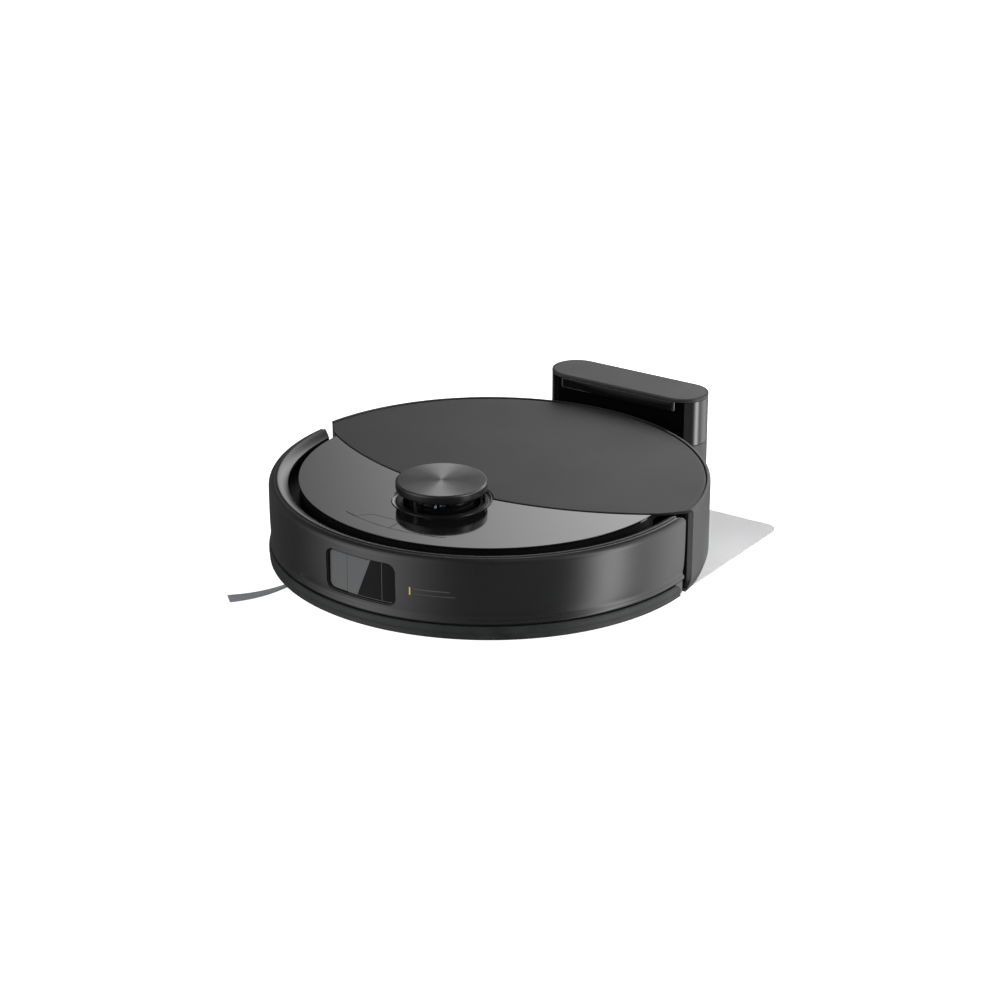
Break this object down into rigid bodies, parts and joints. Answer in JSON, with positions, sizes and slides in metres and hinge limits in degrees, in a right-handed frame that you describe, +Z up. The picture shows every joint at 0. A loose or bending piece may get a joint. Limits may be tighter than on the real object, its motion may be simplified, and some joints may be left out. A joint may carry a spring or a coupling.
{
  "type": "robot vacuum",
  "caption": "Round robot vacuum with a laser turret, sprung front bumper, side brush and rear cover, parked on a low pillar charging dock with a thin floor mat.",
  "frame": {"origin": "on the floor, under the middle of the bounding box of robot, dock and mat", "axes": "+X to the right as seen from the front, +Y from the robot towards the dock, +Z up; the robot drives towards -Y"},
  "size_m": [0.356, 0.4178, 0.0965],
  "materials": {
    "shell_black": "fine matte texture",
    "bumper_satin": "satin with a soft metallic sheen",
    "skirt_rubber": "matte",
    "deck_gloss": "mirror gloss",
    "lid_matte": "fine matte texture",
    "spun_metal": "radially spun, dark anodised",
    "gloss_black": "gloss",
    "dark_plastic": "moulded",
    "lens_glass": "coated lens",
    "window_black": "infrared-clear gloss",
    "gold": "satin print",
    "steel": "plain steel",
    "board_green": "solder mask",
    "cell_wrap": "shrink wrap",
    "bin_clear": "smoked, translucent",
    "filter_paper": "pleated paper",
    "red_rubber": "soft fin rubber",
    "brush_blue": "moulded",
    "bristle": "fine nylon bristles",
    "wheel_grey": "moulded",
    "tyre_black": "moulded tread",
    "caster_white": "moulded nylon",
    "dock_matte": "fine matte texture",
    "dock_gloss": "mirror gloss",
    "dock_top": "satin",
    "contact_metal": "plated",
    "mat_clear": "frosted, translucent sheet"
  },
  "bodies": {
    "robot": {"chassis_base": "dark_plastic", "brush_bay": "dark_plastic", "front_wall": "dark_plastic", "chassis_mounts": "dark_plastic", "caster_tower": "dark_plastic", "rear_shell": "shell_black", "deck_frame": "dark_plastic", "deck_panel": "deck_gloss", "lidar_base": "dark_plastic", "lidar_ring": "gloss_black", "lidar_motor": "steel", "lidar_belt": "tyre_black", "main_board": "board_green", "battery": "cell_wrap", "battery_cover": "dark_plastic", "fan_housing": "dark_plastic", "brush_gearbox": "dark_plastic", "brush_cover": "dark_plastic", "side_brush_motor": "steel", "charge_pads": "contact_metal", "cliff_sensors": "window_black", "fasteners": "steel", "bumper_springs": "steel"},
    "bumper": {"bumper_shell": "bumper_satin", "bumper_skirt": "skirt_rubber", "window_glass": "window_black", "window_frame": "gloss_black", "obstacle_camera": "lens_glass", "accent_marks": "gold"},
    "lid": {"lid": "lid_matte"},
    "dustbin": {"dustbin": "bin_clear", "dustbin_handle": "dark_plastic", "dustbin_filter": "filter_paper"},
    "power_button": {"power_button": "deck_gloss"},
    "dock_button": {"dock_button": "deck_gloss"},
    "lidar_cap": {"lidar_cap": "spun_metal"},
    "lidar_rotor": {"lidar_rotor": "gloss_black"},
    "lidar_pulley": {"lidar_pulley": "steel"},
    "fan_impeller": {"fan_impeller": "wheel_grey"},
    "main_brush": {"brush_core": "wheel_grey", "brush_fins": "red_rubber"},
    "side_brush": {"side_brush_hub": "brush_blue", "side_brush_bristles": "bristle"},
    "wheel_arm_left": {"wheel_arm_left": "dark_plastic"},
    "wheel_arm_right": {"wheel_arm_right": "dark_plastic"},
    "wheel_left": {"wheel_hub_left": "wheel_grey", "tyre_left": "tyre_black"},
    "wheel_right": {"wheel_hub_right": "wheel_grey", "tyre_right": "tyre_black"},
    "caster_fork": {"caster_fork": "dark_plastic"},
    "caster_wheel": {"caster_wheel": "caster_white"},
    "dock": {"dock_base": "dock_matte", "dock_body": "dock_matte", "dock_upper": "dock_gloss", "dock_cap": "dock_top", "dock_window": "window_black", "power_inlet": "dark_plastic", "floor_mat": "mat_clear"},
    "dock_contact_left": {"dock_contact_left": "contact_metal"},
    "dock_contact_right": {"dock_contact_right": "contact_metal"}
  },
  "joints": [
    {"name": "bumper_press", "type": "slide", "parent": "robot", "child": "bumper", "axis": [0, 1, 0], "range_m": [0, 0.003], "stiffness_N_per_m": 900, "springref_m": -0.003},
    {"name": "lid_open", "type": "hinge", "parent": "robot", "child": "lid", "pos_m": [0, 0.13687, 0.0786], "axis": [-1, 0, 0], "range_deg": [0, 62]},
    {"name": "dustbin_lift", "type": "slide", "parent": "robot", "child": "dustbin", "axis": [0, 0, 1], "range_m": [0, 0.034]},
    {"name": "power_button_press", "type": "slide", "parent": "robot", "child": "power_button", "axis": [0, 0, -1], "range_m": [0, 0.0005], "stiffness_N_per_m": 800, "springref_m": -0.001},
    {"name": "dock_button_press", "type": "slide", "parent": "robot", "child": "dock_button", "axis": [0, 0, -1], "range_m": [0, 0.0005], "stiffness_N_per_m": 800, "springref_m": -0.001},
    {"name": "lidar_cap_press", "type": "slide", "parent": "robot", "child": "lidar_cap", "axis": [0, 0, -1], "range_m": [0, 0.001], "stiffness_N_per_m": 1500, "springref_m": -0.001},
    {"name": "lidar_spin", "type": "hinge", "parent": "robot", "child": "lidar_rotor", "pos_m": [0, -0.09443, 0.07], "axis": [0, 0, 1], "continuous": true},
    {"name": "lidar_pulley_spin", "type": "hinge", "parent": "robot", "child": "lidar_pulley", "pos_m": [0.046, -0.09443, 0.057], "axis": [0, 0, 1], "continuous": true},
    {"name": "fan_spin", "type": "hinge", "parent": "robot", "child": "fan_impeller", "pos_m": [0, 0.10987, 0.03], "axis": [0, 0, 1], "continuous": true},
    {"name": "main_brush_spin", "type": "hinge", "parent": "robot", "child": "main_brush", "pos_m": [0, -0.06013, 0.0215], "axis": [1, 0, 0], "continuous": true},
    {"name": "side_brush_spin", "type": "hinge", "parent": "robot", "child": "side_brush", "pos_m": [-0.0852, -0.15403, 0.01], "axis": [0, 0, 1], "continuous": true},
    {"name": "wheel_left_drop", "type": "hinge", "parent": "robot", "child": "wheel_arm_left", "pos_m": [-0.0945, 0.01587, 0.044], "axis": [1, 0, 0], "range_deg": [0, 12], "stiffness_Nm_per_rad": 0.2, "springref_deg": 28.65},
    {"name": "wheel_right_drop", "type": "hinge", "parent": "robot", "child": "wheel_arm_right", "pos_m": [0.0945, 0.01587, 0.044], "axis": [1, 0, 0], "range_deg": [0, 12], "stiffness_Nm_per_rad": 0.2, "springref_deg": 28.65},
    {"name": "wheel_left_spin", "type": "hinge", "parent": "wheel_arm_left", "child": "wheel_left", "pos_m": [-0.113, -0.03013, 0.035], "axis": [1, 0, 0], "continuous": true},
    {"name": "wheel_right_spin", "type": "hinge", "parent": "wheel_arm_right", "child": "wheel_right", "pos_m": [0.113, -0.03013, 0.035], "axis": [1, 0, 0], "continuous": true},
    {"name": "caster_swivel", "type": "hinge", "parent": "robot", "child": "caster_fork", "pos_m": [0, -0.15613, 0.026], "axis": [0, 0, 1], "continuous": true},
    {"name": "caster_roll", "type": "hinge", "parent": "caster_fork", "child": "caster_wheel", "pos_m": [0, -0.15213, 0.012], "axis": [1, 0, 0], "continuous": true},
    {"name": "dock_undock", "type": "slide", "parent": "robot", "child": "dock", "axis": [0, 1, 0], "range_m": [0, 0.15]},
    {"name": "dock_contact_left_press", "type": "slide", "parent": "dock", "child": "dock_contact_left", "axis": [0, 0, -1], "range_m": [0, 0.0015], "stiffness_N_per_m": 300, "springref_m": -0.001},
    {"name": "dock_contact_right_press", "type": "slide", "parent": "dock", "child": "dock_contact_right", "axis": [0, 0, -1], "range_m": [0, 0.0015], "stiffness_N_per_m": 300, "springref_m": -0.001}
  ],
  "couplings": [
    {"joint": "lidar_pulley_spin", "follows": "lidar_spin", "ratio": 3.1111},
    {"joint": "dustbin_lift", "follows": "lid_open", "m_per_rad": 0.03}
  ]
}
